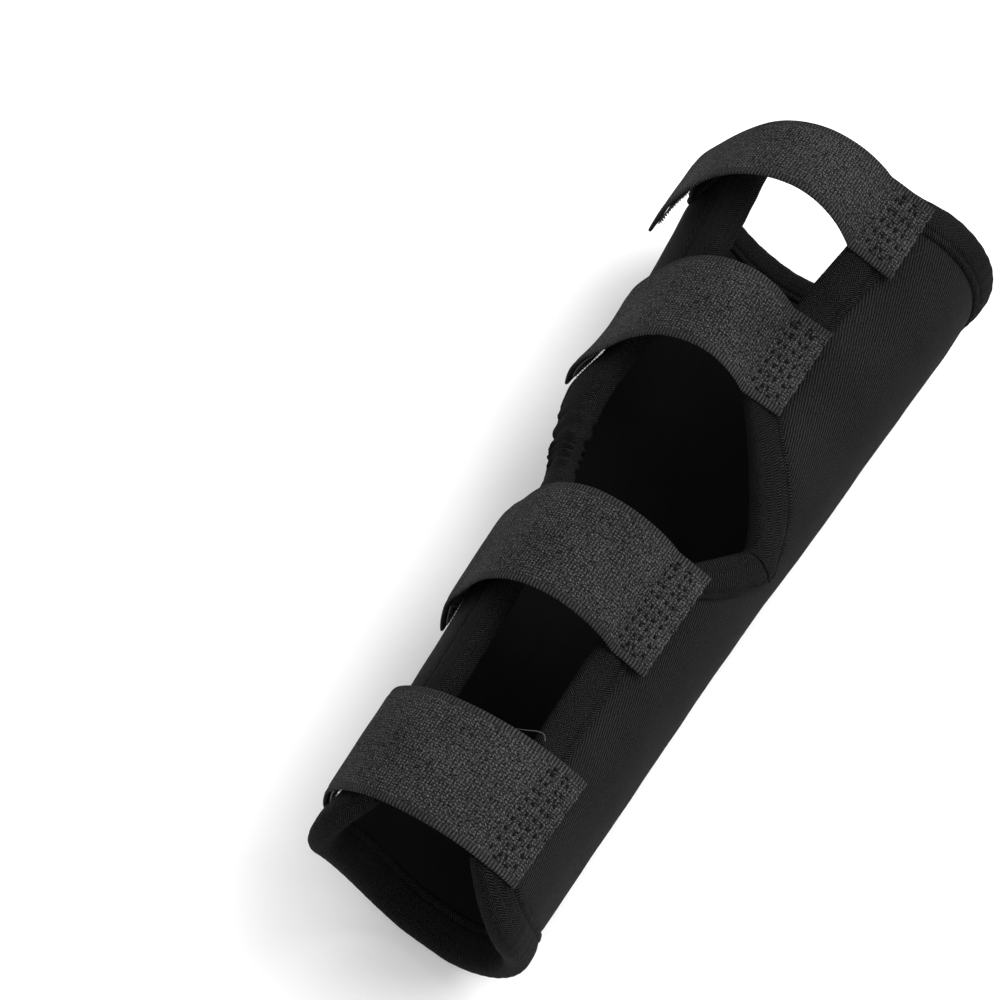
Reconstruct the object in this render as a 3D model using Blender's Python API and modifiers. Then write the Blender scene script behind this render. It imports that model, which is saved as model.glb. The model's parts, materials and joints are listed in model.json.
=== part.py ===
"""Strap-on wrist guard: a padded C-shaped sleeve with bound edges, a stiffening stay and four straps.

Metres, +Z up. The sleeve lies on its back with its opening on top. Its length runs along Y,
from the narrow hand end at -Y to the wide forearm end at +Y, and +X is the side that the
straps are sewn to. Every shell is a patch of one tube whose section is a superellipse:
a point of it is given by its station (0 at the hand end, 1 at the forearm end), its angle
from the top (degrees, positive towards +X) and its offset from the cover's outer face.
"""

import math

import bpy

# Sleeve
LENGTH = 0.250
HALF_WIDTH = (0.0315, 0.0375, 0.0468)  # hand end, middle, forearm end
HALF_HEIGHT = (0.0397, 0.0306, 0.0370)
SIDE_DRIFT = -0.0010  # how far the middle stands towards -X
POWER_UPPER = 2.32  # superellipse powers of the section above and below its middle
POWER_LOWER = 1.93
REST_FLAT = 0.0013  # how far the underside is pressed flat
SPLIT_ANGLE = 95.0  # flex line between the back panel and a wing

LAST_STATION = 0.80  # the facets beyond it stretch to the forearm end's edge
FACET_STATION = 0.08  # longest facets of the wings, as a share of the length and in degrees
FACET_ANGLE = 7.5

# Layers, as offsets from the cover's outer face
COVER_THICK = 0.0022
LINING_THICK = 0.0010
LAYER_GAP = 0.0003
TAPE_THICK = 0.0008
TAPE_GAP = 0.0005  # wider than the gap between layers, because the tape bends round slanting edges
NOTCH_GAP = 0.0016  # between the two lengths of tape that meet at a notch's corner
STAY_THICK = 0.0015
FLEX_GAP = 0.0012

COVER_IN = -COVER_THICK
LINING_OUT = COVER_IN - LAYER_GAP
LINING_IN = LINING_OUT - LINING_THICK
TAPE_OUTER_MID = TAPE_GAP + TAPE_THICK / 2
TAPE_INNER_MID = LINING_IN - TAPE_GAP - TAPE_THICK / 2
TAPE_PROUD = TAPE_GAP + TAPE_THICK
EDGE_SETBACK = TAPE_THICK + TAPE_GAP

# The origin is on the ground under the middle of the whole guard's box, straps included
CENTRE_X = 0.0010
CENTRE_Y = 0.0024
GROUND = TAPE_PROUD - REST_FLAT

# Slit edges: (station, angle). The notch for the thumb has its corner at station 0.523.
RIGHT_EDGE = (
    (0.0, 26.0), (0.05, 20.5), (0.2, 17.0), (0.41, 15.0), (0.523, 52.0), (0.68, 8.5), (0.82, 9.5), (1.0, 18.5),
)
LEFT_EDGE = (
    (0.0, 37.0), (0.05, 33.0), (0.2, 32.0), (0.41, 35.0), (0.545, 50.0), (0.68, 47.5), (0.80, 30.5), (1.0, 33.5),
)
RIGHT_NOTCH = 0.523
LEFT_NOTCH = 0.545

# Binding tape on the outer and inner face
TAPE_WIDTH = 0.0110
FOREARM_TAPE_WIDTH = 0.0085
SLIT_TAPE_ANGLE = 15.0
NOTCH_TAPE_ANGLE = 22.0

# Straps, from the forearm end to the hand end. Stations are of the two long edges and angles
# are of the sewn end, of the fold beside its stitching and of the free tip. A strap stands off
# the cover by its crown over the slit, by its side on the plain wing and by its tip_off at the
# tip. Its edge at the hand's side stands higher than the other one by its tilt. It drifts along
# the sleeve by its lean towards the tip and by its skew towards the sewn end.
STRAP_THICK = 0.0014
HOOK_THICK = 0.0008
STRAPS = {
    "strap_1": {
        "low": 0.897, "high": 0.999, "sewn": 31.0, "fold": 15.5, "tip": -72.0, "crown": 0.0108,
        "side": 0.0048, "tip_off": 0.0046, "tilt": 0.0065, "lean": -0.0150, "skew": -0.0035,
    },
    "strap_2": {
        "low": 0.674, "high": 0.796, "sewn": 24.5, "fold": 10.5, "tip": -78.0, "crown": 0.0108,
        "side": 0.0048, "tip_off": 0.0044, "tilt": 0.0030, "lean": -0.0110, "skew": -0.0020,
    },
    "strap_3": {
        "low": 0.318, "high": 0.464, "sewn": 38.0, "fold": 24.5, "tip": -98.0, "crown": 0.0103,
        "side": 0.0031, "tip_off": 0.0022, "tilt": 0.0025, "lean": -0.0066, "skew": -0.0020,
    },
    "strap_4": {
        "low": 0.026, "high": 0.172, "sewn": 44.0, "fold": 30.5, "tip": -76.0, "crown": 0.0034,
        "side": 0.0028, "tip_off": 0.0026, "tilt": 0.0, "lean": 0.0015, "skew": 0.0,
    },
}
SEWN_OFFSET = TAPE_PROUD + LAYER_GAP
FOLD_FLAT_ANGLE = 3.0
CROWN_ANGLE = -12.0
SIDE_ANGLE = -58.0
LEAN_ANGLE = -100.0
HOOK_LENGTH_ANGLE = 20.0

# Stay, inside the back panel
STAY_STATIONS = (0.14, 0.86)
STAY_HALF_ANGLE = 26.0
STAY_ANGLES = (160.0, 167.0, 174.0)  # facets under the stay, on one side of the middle
POCKET_MARGIN_ANGLE = 9.0
POCKET_MARGIN_STATION = 0.035

BLACK_FABRIC = (0.012, 0.012, 0.013, 1.0)
LINING_BLACK = (0.006, 0.006, 0.007, 1.0)
TAPE_BLACK = (0.010, 0.010, 0.011, 1.0)
STRAP_GREY = (0.036, 0.037, 0.040, 1.0)
HOOK_BLACK = (0.014, 0.014, 0.015, 1.0)
STAY_METAL = (0.55, 0.56, 0.58, 1.0)


def along(values, station):
    """Parabola through three values at stations 0, 0.5 and 1."""
    start, middle, end = values
    return (
        start * (1 - station) * (1 - 2 * station)
        + middle * 4 * station * (1 - station)
        + end * station * (2 * station - 1)
    )


def between(knots, x):
    """Straight lines between knots (x, value), level beyond the ends."""
    if x <= knots[0][0]:
        return knots[0][1]
    for (x0, y0), (x1, y1) in zip(knots, knots[1:]):
        if x <= x1:
            return y0 + (y1 - y0) * (x - x0) / (x1 - x0)
    return knots[-1][1]


def smooth(x, start, end):
    """0 before start, 1 after end, with a soft turn at both."""
    share = min(1.0, max(0.0, (x - start) / (end - start)))
    return share * share * (3 - 2 * share)


def tube_point(station, angle, offset):
    """Point of the tube, at an offset from the cover's outer face."""
    half_width = along(HALF_WIDTH, station)
    half_height = along(HALF_HEIGHT, station)
    across = math.sin(math.radians(angle))
    upward = math.cos(math.radians(angle))
    power = POWER_UPPER if upward >= 0 else POWER_LOWER
    reach = (abs(across) ** power + abs(upward) ** power) ** (-1 / power)
    x = along((0.0, SIDE_DRIFT, 0.0), station) + (half_width + offset) * reach * across
    z = half_height + (half_height + offset) * reach * upward
    return (CENTRE_X + x, CENTRE_Y + (station - 0.5) * LENGTH, GROUND + max(z, REST_FLAT - offset))


def hand_edge(angle):
    """Station of the hand end's edge: scooped at the sides and cut back at the slit's corners."""
    turned = (angle + 180) % 360 - 180
    turn = math.radians(turned)
    rim = -0.0193 - 0.0308 * math.cos(turn) - 0.0102 * math.cos(2 * turn) + 0.006 * math.sin(2 * turn)
    corner_reach = 75 if turned > 0 else 90
    corner = max(0.0, (corner_reach - abs(turned)) / 40)
    return rim + 0.0496 * corner**2


def forearm_edge(angle):
    """Station of the forearm end's edge: scooped at the plain wing's shoulder and under strap 1."""
    turned = (angle + 180) % 360 - 180
    shoulder = 0.055 * math.exp(-(((turned + 65) / 21) ** 2))
    corner = 0.010 * math.exp(-(((turned - 22) / 14) ** 2))
    underside = 0.003 * (1 - math.cos(math.radians(turned)))
    return 1 - shoulder - corner - underside


def slit_edge(side, station):
    """Angle of a wing's free edge, signed."""
    return side * between(RIGHT_EDGE if side > 0 else LEFT_EDGE, station)


def tape_angle(side, station):
    """Width of the slit's binding, in degrees: it runs slantwise, so wider, round the notch."""
    middle = RIGHT_NOTCH if side > 0 else LEFT_NOTCH
    nearness = 1 - smooth(abs(station - middle), 0.05, 0.13)
    return SLIT_TAPE_ANGLE + (NOTCH_TAPE_ANGLE - SLIT_TAPE_ANGLE) * nearness


def setback_angle(station, distance):
    """Angle that spans a distance along the tube's upper side."""
    return math.degrees(distance / (along(HALF_HEIGHT, station) * 1.03))


def spaced(start, end, count):
    """Evenly spaced numbers from start to end."""
    return [start + (end - start) * i / (count - 1) for i in range(count)]


def wing_stations(side):
    """Stations of a wing's facets: at each corner of its free edge, and closer where it slants."""
    knots = RIGHT_EDGE if side > 0 else LEFT_EDGE
    stations = [knots[0][0]]
    for (low, low_angle), (high, high_angle) in zip(knots, knots[1:]):
        count = math.ceil(max((high - low) / FACET_STATION, abs(high_angle - low_angle) / FACET_ANGLE))
        stations += spaced(low, high, count + 1)[1:]
    return stations


def stations_between(side, start, end):
    """The wing's facet stations from start to end, with both ends."""
    margin = 0.004
    return [start] + [s for s in wing_stations(side) if start + margin < s < end - margin] + [end]


def make_material(name, color, roughness, metallic=0.0):
    """Plain Principled material."""
    material = bpy.data.materials.new(name)
    material.use_nodes = True
    shader = material.node_tree.nodes["Principled BSDF"]
    shader.inputs["Base Color"].default_value = color
    shader.inputs["Roughness"].default_value = roughness
    shader.inputs["Metallic"].default_value = metallic
    return material


def shell(name, rows, thickness, material, parent):
    """Sheet through rows of points, thickened evenly on both sides. All rows are equally long."""
    mesh = bpy.data.meshes.new(name)
    width = len(rows[0])
    points = [point for row in rows for point in row]
    faces = [
        (i * width + j, i * width + j + 1, (i + 1) * width + j + 1, (i + 1) * width + j)
        for i in range(len(rows) - 1)
        for j in range(width - 1)
    ]
    mesh.from_pydata(points, [], faces)
    mesh.materials.append(material)
    mesh.shade_smooth()
    mesh.set_sharp_from_angle(angle=math.radians(40))
    piece = bpy.data.objects.new(name, mesh)
    collection.objects.link(piece)
    piece.parent = parent
    piece.matrix_parent_inverse = parent.matrix_world.inverted()
    solidify = piece.modifiers.new("Thickness", "SOLIDIFY")
    solidify.thickness = thickness
    solidify.offset = 0
    solidify.use_even_offset = True
    return piece


def layer(name, side, outer, inner, material, parent, columns=13):
    """One layer of a wing, from its flex line to its free edge inside the binding."""
    middle = (outer + inner) / 2
    flex = SPLIT_ANGLE - setback_angle(0.5, FLEX_GAP / 2)
    setback = EDGE_SETBACK / LENGTH
    rows = []
    for mark in wing_stations(side):
        edge = abs(slit_edge(side, mark)) + setback_angle(mark, EDGE_SETBACK)
        row = []
        for angle in spaced(flex, edge, columns):
            end = forearm_edge(side * angle) - setback
            shrink = (end - LAST_STATION) / (1 - LAST_STATION)
            station = min(mark, LAST_STATION + (mark - LAST_STATION) * shrink)
            if mark == 0:
                station = hand_edge(side * angle) + setback
            row.append(tube_point(station, side * angle, middle))
        rows.append(row)
    return shell(name, rows, outer - inner, material, parent)


def back_angles():
    """Angles across the back panel, from its +X flex line under the sleeve to the other one."""
    flex = SPLIT_ANGLE + setback_angle(0.5, FLEX_GAP / 2)
    beside_stay = 180 - STAY_HALF_ANGLE - POCKET_MARGIN_ANGLE
    half = spaced(flex, beside_stay, 6) + [180 - STAY_HALF_ANGLE - 2, *STAY_ANGLES]
    return half + [360 - angle for angle in reversed(half)]


def pocket_depth(station, angle):
    """Extra depth of the back lining over the stay."""
    turned = abs(angle - 180)
    beside = 1 - smooth(turned, STAY_HALF_ANGLE + 2, STAY_HALF_ANGLE + POCKET_MARGIN_ANGLE)
    low, high = STAY_STATIONS
    before = smooth(station, low - POCKET_MARGIN_STATION, low - 0.01)
    after = 1 - smooth(station, high + 0.01, high + POCKET_MARGIN_STATION)
    return (STAY_THICK + LAYER_GAP) * beside * before * after


def back_layer(name, outer, inner, material, parent, depth=None):
    """One layer of the back panel, from flex line to flex line under the sleeve."""
    middle = (outer + inner) / 2
    angles = back_angles()
    low, high = STAY_STATIONS
    marks = [0.0, low - POCKET_MARGIN_STATION, low - 0.01, 0.26, 0.38, 0.5, 0.62, 0.74, high + 0.01]
    marks += [high + POCKET_MARGIN_STATION, 1.0]
    rows = []
    for mark in marks:
        row = []
        for angle in angles:
            start = hand_edge(angle) + EDGE_SETBACK / LENGTH
            station = start + (forearm_edge(angle) - EDGE_SETBACK / LENGTH - start) * mark
            sunk = depth(mark, angle) if depth else 0.0
            row.append(tube_point(station, angle, middle - sunk))
        rows.append(row)
    return shell(name, rows, outer - inner, material, parent)


def make_stay(material, parent):
    """Curved stiffening plate between the back panel's cover and lining, with clipped corners."""
    middle = LINING_OUT - STAY_THICK / 2
    low, high = STAY_STATIONS
    clipped = ((0.0, 0.8), (0.03, 0.94), (0.1, 1.0), (0.9, 1.0), (0.97, 0.94), (1.0, 0.8))
    rows = []
    for share in (0.0, 0.03, 0.1, 0.3, 0.5, 0.7, 0.9, 0.97, 1.0):
        narrowing = between(clipped, share)
        half = STAY_HALF_ANGLE * narrowing
        side = [180 - half, *STAY_ANGLES]
        angles = side + [360 - angle for angle in reversed(side)]
        rows.append([tube_point(low + (high - low) * share, angle, middle) for angle in angles])
    return shell("back_stay", rows, STAY_THICK, material, parent)


def tape_section(point_at, width):
    """Points of a binding folded round an edge, from its inner hem to its outer hem."""
    edge = TAPE_THICK / 2
    return [
        point_at(width, TAPE_INNER_MID),
        point_at(width / 2, TAPE_INNER_MID),
        point_at(edge, TAPE_INNER_MID),
        point_at(edge, TAPE_OUTER_MID),
        point_at(width / 2, TAPE_OUTER_MID),
        point_at(width, TAPE_OUTER_MID),
    ]


def slit_binding(name, side, start, end, material, parent):
    """Binding tape folded round a stretch of a wing's free edge."""
    rows = []
    for station in stations_between(side, start, end):
        edge_angle = abs(slit_edge(side, station))
        full = tape_angle(side, station)

        def at_distance(distance, offset, station=station, edge_angle=edge_angle, full=full):
            """Point a share of the tape's width inside the edge."""
            is_hem_side = distance > TAPE_THICK
            span = full * distance / TAPE_WIDTH if is_hem_side else setback_angle(station, distance)
            return tube_point(station, side * (edge_angle + span), offset)

        rows.append(tape_section(at_distance, TAPE_WIDTH))
    if side < 0:
        rows.reverse()
    return shell(name, rows, TAPE_THICK, material, parent)


def end_binding(name, at_hand, angles, material, parent):
    """Binding tape folded round a stretch of the sleeve's hand or forearm end."""
    width = TAPE_WIDTH if at_hand else FOREARM_TAPE_WIDTH
    rows = []
    for angle in angles:

        def at_distance(distance, offset, angle=angle):
            """Point a distance inside the end's edge."""
            inward = distance / LENGTH
            station = hand_edge(angle) + inward if at_hand else forearm_edge(angle) - inward
            return tube_point(station, angle, offset)

        rows.append(tape_section(at_distance, width))
    if at_hand:
        rows.reverse()
    return shell(name, rows, TAPE_THICK, material, parent)


def strap_rise(strap, angle):
    """0 on the sewn end and just past the fold, 1 from the crown on."""
    take_off = strap["fold"] - FOLD_FLAT_ANGLE
    share = min(1.0, max(0.0, (angle - CROWN_ANGLE) / (take_off - CROWN_ANGLE)))
    return 1 - share**2


def strap_offset(strap, angle):
    """Height of the strap's underside above the cover, at the middle of its width."""
    to_crown = (strap["crown"] - SEWN_OFFSET) * strap_rise(strap, angle)
    to_side = (strap["side"] - strap["crown"]) * (1 - smooth(angle, SIDE_ANGLE, CROWN_ANGLE - 2))
    to_tip = (strap["tip_off"] - strap["side"]) * (1 - smooth(angle, strap["tip"], SIDE_ANGLE))
    return SEWN_OFFSET + to_crown + to_side + to_tip


def strap_point(strap, angle, share, depth):
    """Point of a strap: share is -1 at its edge towards the hand and 1 at the other edge."""
    tilt = strap["tilt"] * strap_rise(strap, angle) * (0.4 + 0.6 * smooth(angle, -75.0, -35.0))
    width = (strap["high"] - strap["low"]) * LENGTH
    half = math.sqrt(width**2 - tilt**2) / 2
    skew = strap["skew"] * smooth(angle, CROWN_ANGLE, strap["sewn"])
    lean = strap["lean"] * (1 - smooth(angle, LEAN_ANGLE, CROWN_ANGLE))
    station = (strap["low"] + strap["high"]) / 2 + (skew + lean + half * share) / LENGTH
    return tube_point(station, angle, strap_offset(strap, angle) - tilt * share / 2 + depth)


def strap_rows(strap, angles, inset, depth):
    """Rows across a strap, a depth above its underside and inset from its long edges."""
    reach = 1 - inset / (strap["high"] - strap["low"]) / LENGTH * 2
    return [[strap_point(strap, angle, share, depth) for share in (-reach, 0.0, reach)] for angle in angles]


def sewn_end(name, strap, material, parent):
    """Stitched-down end of a strap, flat on its wing beside the binding."""
    gap = setback_angle(0.5, LAYER_GAP / 2)
    angles = spaced(strap["sewn"], strap["fold"] + gap, 4)
    return shell(name, strap_rows(strap, angles, 0.0, STRAP_THICK / 2), STRAP_THICK, material, parent)


def webbing(name, strap, material, parent):
    """Free length of a strap, from its fold over the slit and down the other wing."""
    gap = setback_angle(0.5, LAYER_GAP / 2)
    take_off = strap["fold"] - FOLD_FLAT_ANGLE
    angles = [strap["fold"] - gap] + spaced(take_off, strap["tip"], 20)
    return shell(name, strap_rows(strap, angles, 0.0, STRAP_THICK / 2), STRAP_THICK, material, parent)


def hook_patch(name, strap, material, parent):
    """Hook tape under a strap's free end."""
    angles = spaced(strap["tip"] + HOOK_LENGTH_ANGLE, strap["tip"] + 2.0, 8)
    depth = -LAYER_GAP - HOOK_THICK / 2
    return shell(name, strap_rows(strap, angles, 0.0015, depth), HOOK_THICK, material, parent)


def fold_line(strap):
    """Both ends of a strap's fold, on its outer face."""
    return [strap_point(strap, strap["fold"], share, STRAP_THICK) for share in (-1.0, 1.0)]


def flex_line(side):
    """Both ends of a wing's flex line, just outside the bound ends of the sleeve."""
    offset = TAPE_PROUD + 0.0008
    return [tube_point(station, side * SPLIT_ANGLE, offset) for station in (0.0, 1.0)]


def empty_on(name, line, parent):
    """Empty on a joint's axis, halfway between the axis line's two ends."""
    empty = bpy.data.objects.new(name, None)
    empty.empty_display_size = 0.01
    collection.objects.link(empty)
    empty.parent = parent
    middle = [(a + b) / 2 for a, b in zip(*line)]
    empty.location = [m - p for m, p in zip(middle, parent.matrix_world.translation)] if parent else middle
    bpy.context.view_layer.update()
    return empty


def build_back(parent, materials):
    """Back panel: cover, stay, lining and its share of both end bindings."""
    back_layer("back_cover", 0.0, COVER_IN, materials["cover"], parent)
    back_layer("back_lining", LINING_OUT, LINING_IN, materials["lining"], parent, pocket_depth)
    make_stay(materials["stay"], parent)
    end_binding("hand_binding_back", True, back_angles(), materials["tape"], parent)
    end_binding("forearm_binding_back", False, back_angles(), materials["tape"], parent)


def build_wing(prefix, side, parent, materials):
    """One wing: cover, lining, its share of both end bindings and its slit bindings."""
    layer(prefix + "_cover", side, 0.0, COVER_IN, materials["cover"], parent)
    layer(prefix + "_lining", side, LINING_OUT, LINING_IN, materials["lining"], parent)
    flex = SPLIT_ANGLE - setback_angle(0.5, FLEX_GAP / 2)
    for end, at_hand in (("hand", True), ("forearm", False)):
        free = abs(slit_edge(side, 0.0 if at_hand else 1.0))
        angles = [side * angle for angle in spaced(free, flex, 13)]
        if side < 0:
            angles.reverse()
        end_binding(f"{end}_binding_{prefix}", at_hand, angles, materials["tape"], parent)
    notch = RIGHT_NOTCH if side > 0 else LEFT_NOTCH
    gap = LAYER_GAP + 0.0006
    start = hand_edge(slit_edge(side, 0.05) + side) + (TAPE_WIDTH + gap) / LENGTH
    hem = slit_edge(side, 0.97) + side * SLIT_TAPE_ANGLE
    reach = min(forearm_edge(hem), forearm_edge(hem - side * SLIT_TAPE_ANGLE))
    stop = reach - (FOREARM_TAPE_WIDTH + gap) / LENGTH
    half_gap = NOTCH_GAP / 2 / LENGTH
    slit_binding(f"{prefix}_slit_binding_hand", side, start, notch - half_gap, materials["tape"], parent)
    slit_binding(f"{prefix}_slit_binding_forearm", side, notch + half_gap, stop, materials["tape"], parent)


def build_strap(name, wing, materials):
    """One strap: its sewn end on the wing, and its webbing and hook patch on the fold's empty."""
    strap = STRAPS[name]
    fold = empty_on(name + "_fold", fold_line(strap), wing)
    sewn_end(name + "_sewn_end", strap, materials["strap"], wing)
    webbing(name + "_webbing", strap, materials["strap"], fold)
    hook_patch(name + "_hook_patch", strap, materials["hook"], fold)


def build():
    """The whole wrist guard."""
    materials = {
        "cover": make_material("cover_fabric", BLACK_FABRIC, 0.88),
        "lining": make_material("lining_fabric", LINING_BLACK, 0.95),
        "tape": make_material("binding_tape", TAPE_BLACK, 0.82),
        "strap": make_material("strap_webbing", STRAP_GREY, 0.9),
        "hook": make_material("hook_tape", HOOK_BLACK, 0.6),
        "stay": make_material("stay_aluminium", STAY_METAL, 0.4, 1.0),
    }
    guard = empty_on("wrist_guard", ((0.0, 0.0, 0.0), (0.0, 0.0, 0.0)), None)
    build_back(guard, materials)
    wings = {}
    for prefix, side in (("right_wing", 1), ("left_wing", -1)):
        wings[prefix] = empty_on(prefix + "_flex", flex_line(side), guard)
        build_wing(prefix, side, wings[prefix], materials)
    for name in STRAPS:
        build_strap(name, wings["right_wing"], materials)


for old in list(bpy.data.objects):
    bpy.data.objects.remove(old)
collection = bpy.data.collections.new("wrist_guard")
bpy.context.scene.collection.children.link(collection)
build()
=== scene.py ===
"""Looks of the strap-on wrist guard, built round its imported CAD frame.

The sleeve, bindings and straps are patches of one tube, as in the CAD: a point has a station
(0 at the hand end, 1 at the forearm end), an angle from the top (degrees, positive towards +X)
and an offset from the cover's outer face. Lengths are in metres unless a name says mm.
"""

import json
import math

import bpy
import numpy as np
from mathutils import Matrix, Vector

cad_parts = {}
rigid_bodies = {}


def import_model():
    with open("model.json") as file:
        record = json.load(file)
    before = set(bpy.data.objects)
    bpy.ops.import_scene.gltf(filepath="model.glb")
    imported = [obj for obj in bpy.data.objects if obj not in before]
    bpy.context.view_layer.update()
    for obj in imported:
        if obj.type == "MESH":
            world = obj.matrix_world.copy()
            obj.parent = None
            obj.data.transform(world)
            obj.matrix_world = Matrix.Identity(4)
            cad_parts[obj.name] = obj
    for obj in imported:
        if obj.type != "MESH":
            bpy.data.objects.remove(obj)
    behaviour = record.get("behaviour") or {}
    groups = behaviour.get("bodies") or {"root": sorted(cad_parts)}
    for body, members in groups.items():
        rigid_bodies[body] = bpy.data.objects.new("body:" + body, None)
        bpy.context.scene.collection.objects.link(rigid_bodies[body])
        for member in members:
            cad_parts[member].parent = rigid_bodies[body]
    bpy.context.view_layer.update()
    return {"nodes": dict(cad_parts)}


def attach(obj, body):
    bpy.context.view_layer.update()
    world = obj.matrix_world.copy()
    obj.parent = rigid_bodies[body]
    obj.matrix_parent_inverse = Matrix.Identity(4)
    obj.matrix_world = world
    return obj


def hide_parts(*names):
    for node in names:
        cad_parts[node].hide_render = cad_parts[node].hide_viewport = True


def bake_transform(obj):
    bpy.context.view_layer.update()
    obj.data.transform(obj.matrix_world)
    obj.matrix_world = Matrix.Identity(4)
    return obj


MM = 0.001

# The tube, with the CAD's own dimensions
LENGTH = 0.250
HALF_WIDTH = (0.0315, 0.0375, 0.0468)
HALF_HEIGHT = (0.0397, 0.0306, 0.0370)
SIDE_DRIFT = -0.0010
POWER_UPPER = 2.32
POWER_LOWER = 1.93
REST_FLAT = 0.0013  # how far the underside is pressed flat
AXIS_HEIGHT = 0.034  # mean height of the tube's axis over the floor
CENTRE_X = 0.0010
CENTRE_Y = 0.0024
# Slit edges: (station, angle from the top)
RIGHT_EDGE = (
    (0.0, 26.0), (0.05, 20.5), (0.2, 17.0), (0.41, 15.0),
    (0.523, 52.0), (0.68, 8.5), (0.82, 9.5), (1.0, 18.5),
)
LEFT_EDGE = (
    (0.0, 37.0), (0.05, 33.0), (0.2, 32.0), (0.41, 35.0),
    (0.545, 50.0), (0.68, 47.5), (0.80, 30.5), (1.0, 33.5),
)
NOTCH = {1: 0.523, -1: 0.545}
EDGE_ROUNDING = 0.0045

# Layers, as offsets from the cover's outer face
COVER_IN = -2.2 * MM
LINING_OUT = -2.5 * MM
LINING_IN = -3.5 * MM
FOAM_MIDDLE = LINING_IN / 2
EDGE_SETBACK = 1.3 * MM
SEAM_SINK = 1.1 * MM
SEAM_REACH = 2.1 * MM

# Binding tape
TAPE_WIDTH = 11 * MM
FOREARM_TAPE_WIDTH = 8.5 * MM
TAPE_THICK = 0.75 * MM
SLIT_TAPE_ANGLE = 15.0
NOTCH_TAPE_ANGLE = 22.0
TAPE_SEAM = 0.83  # share of the tape's width, from the fold, where it is stitched
HAND_TAPE_START = 0.045  # station where the slit's binding begins
FOREARM_TAPE_CLEARANCE = 0.014  # share of the length that it stops short of the forearm end
SEAM_PITCH = 2.9 * MM
SEAM_STITCH = 2.0 * MM
# Height of the tape over the cover against the share of its width from the fold
TAPE_PROFILE = (
    (1.0, -0.45), (0.985, -0.05), (0.95, 0.15), (0.90, 0.12), (0.86, -0.05), (0.83, -0.15), (0.80, 0.0),
    (0.72, 0.55), (0.55, 0.85), (0.35, 0.95), (0.16, 0.85), (0.06, 0.45), (0.0, -0.25), (-0.02, -1.1),
)

# Straps: stations of the long edges, angles of the sewn end, fold and tip, stand-offs over the
# slit, on the plain wing and at the tip, sideways tilt, and drift along the sleeve at the tip and
# at the sewn end
STRAP_THICK = 1.4 * MM
HOOK_THICK = 0.8 * MM
HOOK_GAP = 0.3 * MM
HOOK_LENGTH_ANGLE = 22.0
SEWN_OFFSET = 1.6 * MM
FOLD_FLAT_ANGLE = 3.0
CROWN_ANGLE = -12.0
SIDE_ANGLE = -58.0
LEAN_ANGLE = -100.0
STRAPS = {
    "strap_1": {
        "low": 0.897, "high": 0.999, "sewn": 31.0, "fold": 15.5, "tip": -72.0, "crown": 0.0108,
        "side": 0.0048, "tip_off": 0.0046, "tilt": 0.0065, "lean": -0.0150, "skew": -0.0035,
    },
    "strap_2": {
        "low": 0.674, "high": 0.796, "sewn": 24.5, "fold": 10.5, "tip": -82.0, "crown": 0.0108,
        "side": 0.0027, "tip_off": 0.0016, "tilt": 0.0020, "lean": -0.0110, "skew": -0.0020,
    },
    "strap_3": {
        "low": 0.318, "high": 0.464, "sewn": 38.0, "fold": 24.5, "tip": -93.0, "crown": 0.0103,
        "side": 0.0025, "tip_off": 0.0016, "tilt": 0.0020, "lean": -0.0066, "skew": -0.0020,
    },
    "strap_4": {
        "low": 0.026, "high": 0.172, "sewn": 44.0, "fold": 30.5, "tip": -84.0, "crown": 0.0034,
        "side": 0.0026, "tip_off": 0.0021, "tilt": 0.0, "lean": 0.0015, "skew": 0.0,
    },
}
STRAP_STEP = 0.6 * MM
BOX_ROWS = (3.8 * MM, 6.4 * MM, 8.9 * MM, 11.2 * MM)  # from the sewn end
BOX_MARGIN = 3.2 * MM  # from the strap's long edges

# Stay pocket
STAY_STATIONS = (0.14, 0.86)
STAY_HALF_ANGLE = 26.0
POCKET_DEPTH = 1.8 * MM

# Fineness of the grids
SLEEVE_ROWS = 150
SLEEVE_COLUMNS = 64
BINDING_STEP = 0.8 * MM


# ---------------------------------------------------------------- the tube

def along(values, station):
    """Parabola through three values at stations 0, 0.5 and 1."""
    start, middle, end = values
    return (
        start * (1 - station) * (1 - 2 * station)
        + middle * 4 * station * (1 - station)
        + end * station * (2 * station - 1)
    )


def smooth(x, start, end):
    """0 before start, 1 after end, with a soft turn at both."""
    share = np.clip((x - start) / (end - start), 0.0, 1.0)
    return share * share * (3 - 2 * share)


def unevenness(station, angle):
    """Handmade undulation of the whole sleeve and its fullness beside the notch, in metres."""
    turn = np.radians(angle)
    broad = np.sin(11.0 * station + 2.0 * turn + 0.7) * np.sin(7.0 * station - 3.0 * turn)
    mid = np.sin(31.0 * station + 5.0 * turn) * np.sin(23.0 * station - 7.0 * turn + 1.3)
    fine = np.sin(67.0 * station - 9.0 * turn + 0.4) * np.sin(53.0 * station + 13.0 * turn)
    plain_side = np.exp(-(((angle + 75.0) / 26.0) ** 2))
    beside_notch = 4.6 * np.exp(-(((station - 0.62) / 0.055) ** 2))
    under_strap_3 = 3.4 * np.exp(-(((station - 0.487) / 0.04) ** 2))
    full = beside_notch - under_strap_3
    strap_side = smooth(station, 0.5, 0.65) * (1 - smooth(station, 0.9, 1.0))
    strap_side = strap_side * smooth(angle, 40.0, 80.0) * (1 - smooth(angle, 115.0, 150.0))
    return MM * (0.22 * broad + 0.10 * mid + 0.05 * fine + full * plain_side + 0.8 * strap_side)


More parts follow.
